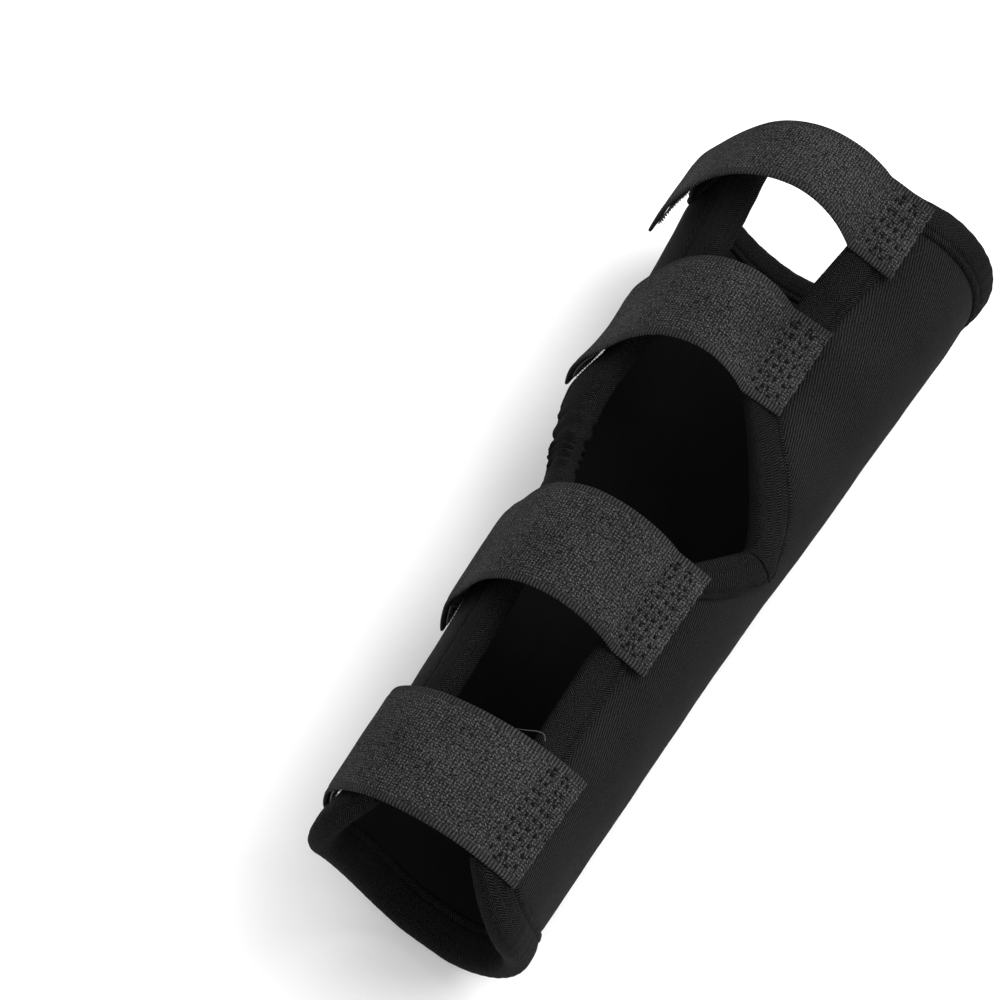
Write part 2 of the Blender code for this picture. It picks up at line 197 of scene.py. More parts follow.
def tube(station, angle, offset):
    """Points of the tube, at an offset from the cover's outer face; arrays are welcome."""
    station, angle, offset = np.broadcast_arrays(station, angle, offset)
    offset = offset + unevenness(station, angle)
    across = np.sin(np.radians(angle))
    upward = np.cos(np.radians(angle))
    power = np.where(upward >= 0, POWER_UPPER, POWER_LOWER)
    reach = (np.abs(across) ** power + np.abs(upward) ** power) ** (-1 / power)
    half_width = along(HALF_WIDTH, station)
    half_height = along(HALF_HEIGHT, station)
    x = along((0.0, SIDE_DRIFT, 0.0), station) + (half_width + offset) * reach * across
    z = half_height + (half_height + offset) * reach * upward
    z = np.maximum(z, np.maximum(REST_FLAT - offset, 0.0))
    return np.stack([CENTRE_X + x, CENTRE_Y + (station - 0.5) * LENGTH, z], axis=-1)


def hand_edge(angle):
    """Station of the hand end's edge: scooped at the sides and cut back at the slit's corners."""
    turned = (angle + 180) % 360 - 180
    turn = np.radians(turned)
    rim = -0.0193 - 0.0308 * np.cos(turn) - 0.0102 * np.cos(2 * turn) + 0.006 * np.sin(2 * turn)
    corner_reach = np.where(turned > 0, 75, 90)
    corner = np.maximum(0.0, (corner_reach - np.abs(turned)) / 40)
    return rim + 0.0496 * corner**2


def forearm_edge(angle):
    """Station of the forearm end's edge: scooped at the plain wing's shoulder and under strap 1."""
    turned = (angle + 180) % 360 - 180
    shoulder = 0.055 * np.exp(-(((turned + 65) / 21) ** 2))
    corner = 0.010 * np.exp(-(((turned - 22) / 14) ** 2))
    underside = 0.005 * (1 - np.cos(np.radians(turned)))
    flare = 0.011 * np.exp(-(((turned - 85) / 30) ** 2))
    return 1 - shoulder - corner - underside + flare


def slit_edge(side, station):
    """Angle of a wing's free edge from the top, unsigned, with its corners rounded."""
    stations, angles = zip(*(RIGHT_EDGE if side > 0 else LEFT_EDGE))
    shifts = np.linspace(-EDGE_ROUNDING, EDGE_ROUNDING, 7)
    return sum(np.interp(station + shift, stations, angles) for shift in shifts) / len(shifts)


def tape_angle(side, station):
    """Width of the slit's binding, in degrees: it runs slantwise, so wider, round the notch."""
    nearness = 1 - smooth(np.abs(station - NOTCH[side]), 0.05, 0.13)
    return SLIT_TAPE_ANGLE + (NOTCH_TAPE_ANGLE - SLIT_TAPE_ANGLE) * nearness


def metres_per_degree(station):
    """Arc length of one degree on the sleeve's upper side."""
    return along(HALF_HEIGHT, station) * 1.03 * math.pi / 180


def pocket_depth(station, angle):
    """Extra depth of the lining over the stay."""
    turned = np.abs(np.abs(angle) - 180)
    beside = 1 - smooth(turned, STAY_HALF_ANGLE + 2, STAY_HALF_ANGLE + 9)
    low, high = STAY_STATIONS
    ends = smooth(station, low - 0.035, low - 0.01) * (1 - smooth(station, high + 0.01, high + 0.035))
    return POCKET_DEPTH * beside * ends


def spline(knots, count):
    """Smooth curve of count points through 2D knots (Catmull-Rom)."""
    knots = np.array(knots, float)
    padded = np.vstack([2 * knots[0] - knots[1], knots, 2 * knots[-1] - knots[-2]])
    points = []
    for t in np.linspace(0, len(knots) - 1, count):
        i = min(int(t), len(knots) - 2)
        f = t - i
        a, b, c, d = padded[i : i + 4]
        bend = 2 * a - 5 * b + 4 * c - d
        twist = 3 * b - a - 3 * c + d
        points.append(0.5 * (2 * b + (c - a) * f + bend * f**2 + twist * f**3))
    return np.array(points)


# ---------------------------------------------------------------- mesh helpers

def make_piece(name, points, faces, material, uv=None, edge=None, sharp=50):
    """Mesh object from points and faces; uv is in millimetres of cloth, edge is mm from a selvedge."""
    mesh = bpy.data.meshes.new(name)
    mesh.from_pydata(np.asarray(points).reshape(-1, 3).tolist(), [], [list(map(int, f)) for f in faces])
    mesh.materials.append(material)
    mesh.shade_smooth()
    mesh.set_sharp_from_angle(angle=math.radians(sharp))
    if uv is not None:
        corners = np.zeros(len(mesh.loops), np.int32)
        mesh.loops.foreach_get("vertex_index", corners)
        layer = mesh.uv_layers.new(name="cloth_mm")
        layer.data.foreach_set("uv", np.asarray(uv, np.float32).reshape(-1, 2)[corners].ravel())
    if edge is not None:
        attribute = mesh.attributes.new("edge_mm", "FLOAT", "POINT")
        attribute.data.foreach_set("value", np.asarray(edge, np.float32).ravel())
    piece = bpy.data.objects.new(name, mesh)
    bpy.context.scene.collection.objects.link(piece)
    return piece


def loop_faces(rows, width):
    """Faces of a closed solid swept through loops; point j of an end loop pairs with point -1-j."""
    faces = []
    for i in range(rows - 1):
        for j in range(width):
            k = (j + 1) % width
            faces.append((i * width + j, i * width + k, (i + 1) * width + k, (i + 1) * width + j))
    last = (rows - 1) * width
    for j in range(width // 2 - 1):
        faces.append((width - 1 - j, width - 2 - j, j + 1, j))
        faces.append((last + j, last + j + 1, last + width - 2 - j, last + width - 1 - j))
    return faces


def swept(name, top, bottom, uv, material, edge=None, flip=False, sharp=50):
    """Closed solid between two grids of points (rows, columns, 3) that share one uv grid."""
    rows, columns = top.shape[:2]
    loops = np.concatenate([top, bottom[:, ::-1]], axis=1)
    uvs = np.concatenate([uv, uv[:, ::-1]], axis=1)
    edges = None if edge is None else np.concatenate([edge, edge[:, ::-1]], axis=1)
    faces = loop_faces(rows, columns * 2)
    if flip:
        faces = [face[::-1] for face in faces]
    return make_piece(name, loops, faces, material, uvs, edges, sharp)


def lengths_along(points):
    """Running length of a polyline, from 0."""
    steps = np.linalg.norm(np.diff(points, axis=0), axis=1)
    return np.concatenate([[0.0], np.cumsum(steps)])


def threads(name, runs, radius, material):
    """Stitches: one short sagging strand for each run (start, end, up)."""
    sides = 6
    marks = (0.0, 0.12, 0.5, 0.88, 1.0)
    widths = (0.45, 0.9, 1.0, 0.9, 0.45)
    lifts = (-1.6, 0.0, 0.45, 0.0, -1.6)
    points, faces = [], []
    for start, end, up in runs:
        forward = (end - start) / np.linalg.norm(end - start)
        sideways = np.cross(forward, up)
        base = len(points)
        for mark, width, lift in zip(marks, widths, lifts):
            centre = start + (end - start) * mark + up * lift * radius
            for k in range(sides):
                turn = 2 * math.pi * k / sides
                spoke = math.cos(turn) * sideways + math.sin(turn) * up
                points.append(centre + spoke * radius * width)
        for i in range(len(marks) - 1):
            for k in range(sides):
                a, b = base + i * sides + k, base + i * sides + (k + 1) % sides
                faces.append((a, b, b + sides, a + sides))
        faces.append([base + k for k in reversed(range(sides))])
        faces.append([base + (len(marks) - 1) * sides + k for k in range(sides)])
    return make_piece(name, np.array(points), faces, material, sharp=80)


def strand(name, path, radius, material, sides=6):
    """Loose thread along a path of points, thinning to its free end."""
    path = spline(path, 24)
    points, faces = [], []
    for i, centre in enumerate(path):
        forward = path[min(i + 1, len(path) - 1)] - path[max(i - 1, 0)]
        forward /= np.linalg.norm(forward)
        sideways = np.cross(forward, (0.3, 0.2, 0.93))
        sideways /= np.linalg.norm(sideways)
        up = np.cross(sideways, forward)
        thick = radius * (1 - 0.5 * i / len(path))
        for k in range(sides):
            turn = 2 * math.pi * k / sides
            points.append(centre + thick * (math.cos(turn) * sideways + math.sin(turn) * up))
    for i in range(len(path) - 1):
        for k in range(sides):
            a, b = i * sides + k, i * sides + (k + 1) % sides
            faces.append((a, b, b + sides, a + sides))
    faces.append(list(reversed(range(sides))))
    faces.append([(len(path) - 1) * sides + k for k in range(sides)])
    return make_piece(name, np.array(points), faces, material, sharp=80)


# ---------------------------------------------------------------- materials

class Graph:
    """Adds and joins the shader nodes of one material."""

    def __init__(self, name, roughness, specular=0.3, metallic=0.0):
        """New material, with its plain constants on the shader's own sockets."""
        self.material = bpy.data.materials.new(name)
        self.material.use_nodes = True
        self.tree = self.material.node_tree
        self.shader = self.tree.nodes["Principled BSDF"]
        self.shader.inputs["Roughness"].default_value = roughness
        self.shader.inputs["Metallic"].default_value = metallic
        self.shader.inputs["Specular IOR Level"].default_value = specular

    def add(self, kind, settings=None, **inputs):
        """New node; settings are its properties, inputs are values or sockets by name."""
        made = self.tree.nodes.new(kind)
        for key, value in (settings or {}).items():
            setattr(made, key, value)
        for key, value in inputs.items():
            self.feed(made.inputs[key.replace("_", " ")], value)
        return made

    def feed(self, socket, value):
        """Links a socket into an input, or sets the input's value."""
        if isinstance(value, bpy.types.NodeSocket):
            self.tree.links.new(value, socket)
        else:
            socket.default_value = value

    def math(self, operation, a, b=0.0, c=0.0):
        """Result of a Math node."""
        made = self.tree.nodes.new("ShaderNodeMath")
        made.operation = operation
        for socket, value in zip(made.inputs, (a, b, c)):
            self.feed(socket, value)
        return made.outputs[0]

    def cloth(self):
        """Cloth coordinates in millimetres: along and across."""
        coordinates = self.add("ShaderNodeUVMap", {"uv_map": "cloth_mm"}).outputs["UV"]
        parts = self.add("ShaderNodeSeparateXYZ", Vector=coordinates)
        return coordinates, parts.outputs["X"], parts.outputs["Y"]

    def stripes(self, coordinate, period):
        """Wave from 0 to 1 along a coordinate."""
        wave = self.math("SINE", self.math("MULTIPLY", coordinate, 2 * math.pi / period))
        return self.math("MULTIPLY_ADD", wave, 0.5, 0.5)

    def noise(self, vector, scale, detail=3.0, roughness=0.6):
        """Noise from 0 to 1 on a coordinate vector."""
        inputs = {"Vector": vector, "Scale": scale, "Detail": detail, "Roughness": roughness}
        return self.add("ShaderNodeTexNoise", **inputs).outputs["Fac"]

    def object_noise(self, scale, detail=3.0):
        """Noise from 0 to 1 in the object's space."""
        return self.noise(self.add("ShaderNodeTexCoord").outputs["Object"], scale, detail)

    def ramp(self, factor, *stops):
        """Colour ramp of (position, grey or colour) stops."""
        made = self.add("ShaderNodeValToRGB", Fac=factor)
        elements = made.color_ramp.elements
        while len(elements) < len(stops):
            elements.new(0.5)
        for element, (position, color) in zip(elements, stops):
            element.position = position
            element.color = (*color, 1.0) if isinstance(color, tuple) else (color, color, color, 1.0)
        return made.outputs["Color"]

    def finish(self, color, height, depth_mm, strength=1.0, roughness=None):
        """Joins colour, relief and roughness to the shader."""
        self.feed(self.shader.inputs["Base Color"], color)
        bump = self.add("ShaderNodeBump", Strength=strength, Distance=depth_mm * MM, Height=height)
        self.feed(self.shader.inputs["Normal"], bump.outputs["Normal"])
        if roughness is not None:
            self.feed(self.shader.inputs["Roughness"], roughness)
        return self.material


def cover_fabric():
    """Nylon jersey on foam: fine slanting ribs, fuzz and slight fading."""
    g = Graph("cover_fabric", 0.88, specular=0.05)
    cloth, x, y = g.cloth()
    slant = g.math("ADD", g.math("MULTIPLY", x, 0.32), g.math("MULTIPLY", y, 0.95))
    wander = g.math("MULTIPLY", g.noise(cloth, 0.35), 0.7)
    ribs = g.stripes(g.math("ADD", slant, wander), 0.73)
    courses = g.stripes(g.math("SUBTRACT", x, g.math("MULTIPLY", y, 0.2)), 0.52)
    fuzz = g.noise(cloth, 1.5, 4.0, 0.75)
    relief = g.math("ADD", g.math("MULTIPLY", ribs, 0.6), g.math("MULTIPLY", courses, 0.15))
    relief = g.math("ADD", relief, g.math("MULTIPLY", fuzz, 0.5))
    shade = g.math("ADD", g.math("MULTIPLY", ribs, 0.28), g.math("MULTIPLY", fuzz, 0.56))
    shade = g.math("ADD", shade, g.math("MULTIPLY", g.object_noise(28.0), 0.16))
    color = g.ramp(shade, (0.30, 0.0007), (0.49, 0.0056), (0.68, 0.0205))
    return g.finish(color, relief, 0.16, 0.8, g.math("MULTIPLY_ADD", fuzz, 0.15, 0.8))


def lining_fabric():
    """Smooth black lining with a very fine knit."""
    g = Graph("lining_fabric", 0.95, specular=0.05)
    cloth, x, y = g.cloth()
    knit = g.math("MULTIPLY", g.stripes(x, 0.6), g.stripes(y, 0.5))
    fuzz = g.noise(cloth, 1.5, 3.0)
    relief = g.math("ADD", g.math("MULTIPLY", knit, 0.5), g.math("MULTIPLY", fuzz, 0.4))
    shade = g.math("ADD", g.math("MULTIPLY", relief, 0.5), g.math("MULTIPLY", g.object_noise(22.0), 0.5))
    color = g.ramp(shade, (0.25, (0.0035, 0.0035, 0.0036)), (0.8, (0.0085, 0.0085, 0.0087)))
    return g.finish(color, relief, 0.06, 0.5)


def binding_tape():
    """Herringbone tape: slanting ribs that turn back every millimetre and a half across it."""
    g = Graph("binding_tape", 0.9, specular=0.04)
    cloth, x, y = g.cloth()
    zigzag = g.math("PINGPONG", y, 1.45)
    wander = g.math("MULTIPLY", g.noise(cloth, 0.5), 0.5)
    ribs = g.stripes(g.math("ADD", g.math("ADD", x, g.math("MULTIPLY", zigzag, 1.05)), wander), 0.72)
    fuzz = g.noise(cloth, 1.6, 4.0, 0.75)
    relief = g.math("ADD", g.math("MULTIPLY", ribs, 0.6), g.math("MULTIPLY", fuzz, 0.65))
    shade = g.math("ADD", g.math("MULTIPLY", ribs, 0.30), g.math("MULTIPLY", fuzz, 0.55))
    shade = g.math("ADD", shade, g.math("MULTIPLY", g.object_noise(35.0), 0.15))
    color = g.ramp(shade, (0.38, 0.0001), (0.51, 0.0017), (0.66, 0.022))
    return g.finish(color, relief, 0.25, 1.0)


def strap_webbing():
    """Grey brushed loop tape: speckled crossing loops, and finer ribs along its selvedges."""
    g = Graph("strap_webbing", 0.92, specular=0.04)
    cloth, x, y = g.cloth()
    edge = g.add("ShaderNodeAttribute", {"attribute_name": "edge_mm"}).outputs["Fac"]
    wander = g.math("MULTIPLY", g.noise(cloth, 0.8, 4.0), 1.5)
    ribs = g.stripes(g.math("ADD", x, wander), 0.98)
    rows = g.stripes(g.math("ADD", y, g.math("MULTIPLY", wander, 1.3)), 0.86)
    loops = g.add("ShaderNodeTexVoronoi", Vector=cloth, Scale=2.3, Randomness=1.0).outputs["Distance"]
    loops = g.math("SUBTRACT", 1.0, g.math("MULTIPLY", loops, 1.35))
    fuzz = g.noise(cloth, 2.0, 5.0, 0.85)
    weave = g.math("MULTIPLY", ribs, rows)
    pile = g.math("ADD", g.math("MULTIPLY", loops, 0.30), g.math("MULTIPLY", weave, 0.30))
    pile = g.math("ADD", pile, g.math("MULTIPLY", fuzz, 0.78))
    band = g.math("ADD", g.math("MULTIPLY", g.stripes(x, 1.0), 0.24), g.math("MULTIPLY", fuzz, 0.82))
    soft_step = {"interpolation_type": "SMOOTHSTEP"}
    inner = g.add("ShaderNodeMapRange", soft_step, Value=edge, From_Min=1.6, From_Max=3.0).outputs["Result"]
    selvedge = g.math("SUBTRACT", 1.0, inner)
    relief = g.math("ADD", g.math("MULTIPLY", pile, inner), g.math("MULTIPLY", band, selvedge))
    shade = g.math("ADD", g.math("MULTIPLY", relief, 0.85), g.math("MULTIPLY", g.object_noise(40.0), 0.15))
    color = g.ramp(shade, (0.38, 0.0025), (0.57, 0.0205), (0.77, 0.085))
    return g.finish(color, relief, 0.3, 0.9)


def hook_tape():
    """Black woven ground of hook tape, with its plastic hooks."""
    g = Graph("hook_tape", 0.5, specular=0.45)
    grain = g.object_noise(900.0)
    color = g.ramp(grain, (0.3, (0.005, 0.005, 0.005)), (0.8, (0.02, 0.02, 0.021)))
    return g.finish(color, grain, 0.1, 0.6)


def black_thread():
    """Twisted polyester thread."""
    g = Graph("black_thread", 0.75, specular=0.1)
    grain = g.object_noise(1800.0)
    color = g.ramp(grain, (0.3, (0.0012, 0.0012, 0.0012)), (0.8, (0.0045, 0.0045, 0.0045)))
    return g.finish(color, grain, 0.05, 0.6)


def grey_thread():
    """Loose grey yarn end."""
    g = Graph("grey_thread", 0.7, specular=0.2)
    grain = g.object_noise(1500.0)
    color = g.ramp(grain, (0.3, (0.03, 0.03, 0.03)), (0.8, (0.09, 0.09, 0.09)))
    return g.finish(color, grain, 0.04, 0.5)


def stay_aluminium():
    """Brushed aluminium, lengthwise grain and a few dull patches."""
    g = Graph("stay_aluminium", 0.4, specular=0.5, metallic=1.0)
    place = g.add("ShaderNodeTexCoord").outputs["Object"]
    stretched = g.add("ShaderNodeMapping", Vector=place, Scale=(2400.0, 40.0, 2400.0)).outputs["Vector"]
    grain = g.noise(stretched, 1.0, 4.0)
    color = g.ramp(grain, (0.3, (0.42, 0.43, 0.45)), (0.7, (0.62, 0.63, 0.65)))
    return g.finish(color, grain, 0.02, 0.5, g.math("MULTIPLY_ADD", g.object_noise(60.0), 0.3, 0.28))


def pale_floor():
    """Plain white studio sweep."""
    g = Graph("pale_floor", 0.9, specular=0.1)
    grain = g.object_noise(8.0)
    color = g.ramp(grain, (0.2, (0.90, 0.90, 0.90)), (0.8, (0.93, 0.93, 0.93)))
    return g.finish(color, grain, 0.01, 0.1)


# ---------------------------------------------------------------- sleeve

def sleeve_grid(side):
    """Stations and angles of a grid over one half of the sleeve, from its slit edge to its underside."""
    mark = np.linspace(0.0, 1.0, SLEEVE_ROWS)[:, None]
    setback = EDGE_SETBACK / LENGTH
    station = setback + (1 - 2 * setback) * mark
    edge = slit_edge(side, station) + EDGE_SETBACK / metres_per_degree(station)
    share = np.linspace(0.0, 1.0, SLEEVE_COLUMNS)[None, :]
    angle = edge + (180 - edge) * share
    near_hand = np.clip(1 - mark / 0.15, 0, 1) ** 2
    near_forearm = np.clip((mark - 0.7) / 0.3, 0, 1) ** 2
    station = station + hand_edge(side * angle) * near_hand
    return station + (forearm_edge(side * angle) - 1) * near_forearm, angle


def seam_distance(side, station, angle):
    """Distance from the nearest binding seam, along the cloth."""
    hem = slit_edge(side, station) + tape_angle(side, station) * TAPE_SEAM
    to_slit = np.abs(angle - hem) * metres_per_degree(station)
    to_hand = np.abs((station - hand_edge(side * angle)) * LENGTH - TAPE_WIDTH * TAPE_SEAM)
    to_forearm = np.abs((forearm_edge(side * angle) - station) * LENGTH - FOREARM_TAPE_WIDTH * TAPE_SEAM)
    beyond = np.where(angle < hem, 1.0, 0.0)
    to_end = np.minimum(to_hand, to_forearm) + beyond * 0.02
    return np.minimum(to_slit, to_end)


def seam_sink(side, station, angle):
    """How far the stitched seams pull the foam in."""
    return SEAM_SINK * np.exp(-((seam_distance(side, station, angle) / SEAM_REACH) ** 2))


def make_sleeve_layer(name, side, outer, inner, material, sink_sign, depth=None):
    """One layer of one half of the sleeve as a closed shell."""
    station, angle = sleeve_grid(side)
    sink = seam_sink(side, station, angle) * sink_sign
    sunk = 0.0 if depth is None else depth(station, angle)
    top = tube(station, side * angle, outer + sink - sunk)
    bottom = tube(station, side * angle, inner + sink * 0.5 - sunk)
    radius = 37.0
    uv = np.stack([station * LENGTH / MM, side * np.radians(angle) * radius], axis=-1)
    return swept(name, top, bottom, uv, material, flip=side < 0, sharp=40)


# ---------------------------------------------------------------- bindings

def tape_section():
    """Closed half loops of the folded tape's section: (share of width, offset) outside and inside."""
    outer = spline(TAPE_PROFILE, 30)
    mirrored = outer[::-1].copy()
    mirrored[:, 1] = LINING_IN / MM - mirrored[:, 1]
    shell = np.vstack([outer, mirrored])
    metric = shell * np.array([TAPE_WIDTH / MM, 1.0])
    tangent = np.gradient(metric, axis=0)
    normal = np.stack([tangent[:, 1], -tangent[:, 0]], axis=-1)
    normal /= np.linalg.norm(normal, axis=1)[:, None]
    under = metric + normal * TAPE_THICK / MM
    across = lengths_along(metric)
    return metric, under, across


def place_section(section, point_at):
    """Points of one section (distance in mm from the fold, offset in mm) in the row frame."""
    return point_at(section[:, 0] * MM, section[:, 1] * MM)


def make_binding(name, places, material, flip):
    """Binding tape swept through places, each a function (distance, offset) to points."""
    metric, under, across = tape_section()
    top = np.array([place_section(metric, place) for place in places])
    bottom = np.array([place_section(under, place) for place in places])
    fold = top[:, len(across) // 2]
    run = lengths_along(fold) / MM
    uv = np.stack(np.meshgrid(run, across, indexing="ij"), axis=-1)
    piece = swept(name, top, bottom, uv, material, flip=flip, sharp=60)
    return piece, (across[-1] * MM, run[-1] * MM)


def slit_places(side, start, end, sink_start, sink_end):
    """Places along a wing's free edge; the tape sinks where an end binding or a lap covers it."""
    count = max(8, int((end - start) * LENGTH / BINDING_STEP))
    places = []
    for station in np.linspace(start, end, count):
        edge = float(slit_edge(side, station))
        full = float(tape_angle(side, station))
        low = (1 - smooth((station - start) * LENGTH, 0.0, sink_start)) if sink_start else 0.0
        high = (1 - smooth((end - station) * LENGTH, 0.0, sink_end)) if sink_end else 0.0
        flat = 1 - 0.55 * max(low, high)
        pucker = gathers(side, station)

        def place(distance, offset, station=station, edge=edge, full=full, flat=flat, pucker=pucker):
            """Point of the tape at this station."""
            share = distance / TAPE_WIDTH
            height = FOAM_MIDDLE + (offset - FOAM_MIDDLE) * flat + pucker * np.cos(share * 4.0)
            return tube(station + pucker * share * 4.0, side * (edge + full * share), height)

        places.append(place)
    return places


def gathers(side, station):
    """Small gathers of the tape, deepest where it turns the corner of the left notch."""
    if side > 0:
        return 0.12 * MM * math.sin(station * 210.0)
    window = smooth(station, 0.49, 0.515) * (1 - smooth(station, 0.565, 0.60))
    folds = math.sin(station * 400.0 + 2.0 * math.sin(station * 95.0)) + 0.3 * math.sin(station * 173.0)
    return 0.8 * MM * window * folds + 0.10 * MM * math.sin(station * 190.0)


def end_places(side, at_hand):
    """Places along one half of the hand or forearm end, from the slit's corner to the underside."""
    corner = float(slit_edge(side, 0.02 if at_hand else 1.0))
    places = []
    for angle in np.linspace(corner, 180.0, 90):

        def place(distance, offset, angle=angle):
            """Point of the tape at this angle."""
            inward = distance / LENGTH
            station = hand_edge(side * angle) + inward
            if not at_hand:
                station = forearm_edge(side * angle) - inward * FOREARM_TAPE_WIDTH / TAPE_WIDTH
            ripple = 0.10 * MM * math.sin(angle * 0.9)
            return tube(station, side * angle, offset + ripple)

        places.append(place)
    return places


def make_bindings(side, word, tape):
    """All bindings of one half, and the flat size of each."""
    wing = word + "_wing"
    made = []
    lap = 1.2 * MM / LENGTH
    forearm_stop = float(forearm_edge(side * slit_edge(side, 1.0))) - FOREARM_TAPE_CLEARANCE
    spans = {
        "hand": (HAND_TAPE_START, NOTCH[side] + lap, 8 * MM, 4 * MM),
        "forearm": (NOTCH[side] - lap, forearm_stop, 0.0, 8 * MM),
    }
    for end, (start, stop, low, high) in spans.items():
        places = slit_places(side, start, stop, low, high)
        piece, flat = make_binding(f"{word}_slit_binding_{end}", places, tape, flip=side < 0)
        made.append((piece, flat, [f"{wing}_slit_binding_{end}"]))
    for end, at_hand in (("hand", True), ("forearm", False)):
        places = end_places(side, at_hand)
        flip = (side > 0) == at_hand
        piece, flat = make_binding(f"{word}_{end}_binding", places, tape, flip=not flip)
        made.append((piece, flat, [f"{end}_binding_{wing}", f"{end}_binding_back"]))
    return made


def seam_runs(side):
    """Stitches down the seams of one half's bindings, outside."""
    offset = 0.05 * MM

    def slit_point(station):
        """Point of the slit's seam at a station."""
        angle = slit_edge(side, station) + tape_angle(side, station) * TAPE_SEAM
        return tube(station, side * angle, offset)

    def hand_point(angle):
        """Point of the hand end's seam at an angle."""
        return tube(hand_edge(side * angle) + TAPE_SEAM * TAPE_WIDTH / LENGTH, side * angle, offset)

    def forearm_point(angle):
        """Point of the forearm end's seam at an angle."""
        station = forearm_edge(side * angle) - TAPE_SEAM * FOREARM_TAPE_WIDTH / LENGTH
        return tube(station, side * angle, offset)

    runs = []
    for point_at, start, end in (
        (slit_point, 0.07, 0.95),
        (hand_point, 40.0, 180.0),
        (forearm_point, 30.0, 180.0),
    ):
        marks = np.linspace(start, end, 600)
        runs += runs_on(np.array([point_at(mark) for mark in marks]), SEAM_PITCH, SEAM_STITCH)
    return runs


def runs_on(line, pitch, length):
    """Stitch runs (start, end, up) along a polyline on the tube, facing away from the tube's axis."""
    travelled = lengths_along(line)
    runs = []
    for mark in np.arange(pitch / 2, travelled[-1] - length, pitch):
        ends = [
            np.array([np.interp(place, travelled, line[:, axis]) for axis in range(3)])
            for place in (mark, mark + length)
        ]
        middle = (ends[0] + ends[1]) / 2
        up = middle - np.array([CENTRE_X, middle[1], AXIS_HEIGHT])
        runs.append((ends[0], ends[1], up / np.linalg.norm(up)))
    return runs


# ---------------------------------------------------------------- straps

def strap_rise(strap, angle):
    """0 on the sewn end and just past the fold, 1 from the crown on."""
    take_off = strap["fold"] - FOLD_FLAT_ANGLE
    share = np.clip((angle - CROWN_ANGLE) / (take_off - CROWN_ANGLE), 0.0, 1.0)
    return 1 - share**2


def strap_offset(strap, angle):
    """Height of the strap's underside above the cover, at the middle of its width."""
    to_crown = (strap["crown"] - SEWN_OFFSET) * strap_rise(strap, angle)
    to_side = (strap["side"] - strap["crown"]) * (1 - smooth(angle, SIDE_ANGLE, CROWN_ANGLE - 2))
    to_tip = (strap["tip_off"] - strap["side"]) * (1 - smooth(angle, strap["tip"], SIDE_ANGLE))
    return SEWN_OFFSET + to_crown + to_side + to_tip


def strap_point(strap, angle, share, height):
    """Point of a strap: share 0 to 1 across it from the hand's side, height above its underside."""
    tilt = strap["tilt"] * strap_rise(strap, angle) * (0.4 + 0.6 * smooth(angle, -75.0, -35.0))
    width = (strap["high"] - strap["low"]) * LENGTH
    reach = np.sqrt(width**2 - tilt**2) * (share - 0.5)
    skew = strap["skew"] * smooth(angle, CROWN_ANGLE, strap["sewn"])
    lean = strap["lean"] * (1 - smooth(angle, LEAN_ANGLE, CROWN_ANGLE))
    station = (strap["low"] + strap["high"]) / 2 + (skew + lean + reach) / LENGTH
    return tube(station, angle, strap_offset(strap, angle) + tilt * (0.5 - share) + height)


def strap_angles(strap):
    """Angles from the sewn end to the tip, evenly spaced along the strap."""
    fine = np.linspace(strap["sewn"], strap["tip"], 2000)
    run = lengths_along(strap_point(strap, fine, 0.5, 0.0))
    count = int(run[-1] / STRAP_STEP)
    marks = np.linspace(0.0, run[-1], count)
    return np.interp(marks, run, fine), marks


def strap_section(width):
    """Share across, top and underside height of a strap's section, with rounded ribbed selvedges."""
    edge = np.array([0.0, 0.25, 0.7, 1.4, 2.2, 3.0, 3.8, 4.6]) * MM
    middle = np.linspace(5.4 * MM, width - 5.4 * MM, 34)
    across = np.concatenate([edge, middle, width - edge[::-1]])
    near = np.minimum(across, width - across)
    roundness = np.sqrt(np.clip(1 - (1 - np.clip(near / (0.9 * MM), 0, 1)) ** 2, 0, 1))
    band = 0.18 * MM * (1 - smooth(near, 2.0 * MM, 3.2 * MM))
    top = STRAP_THICK / 2 + (STRAP_THICK / 2 - band) * roundness
    bottom = STRAP_THICK / 2 - (STRAP_THICK / 2 - band * 0.4) * roundness
    return across, near, top, bottom


def box_stitches(strap):
    """Lines of the box stitching: pairs of ends, as (length from the sewn end, distance across)."""
    width = (strap["high"] - strap["low"]) * LENGTH
    lines = []
    for number, row in enumerate(BOX_ROWS):
        slant = (-1) ** number * 0.5 * MM
        lines.append(((row - slant, BOX_MARGIN), (row + slant, width - BOX_MARGIN)))
    for across in (BOX_MARGIN, width - BOX_MARGIN):
        lines.append(((BOX_ROWS[0], across), (BOX_ROWS[-1], across)))
    return lines


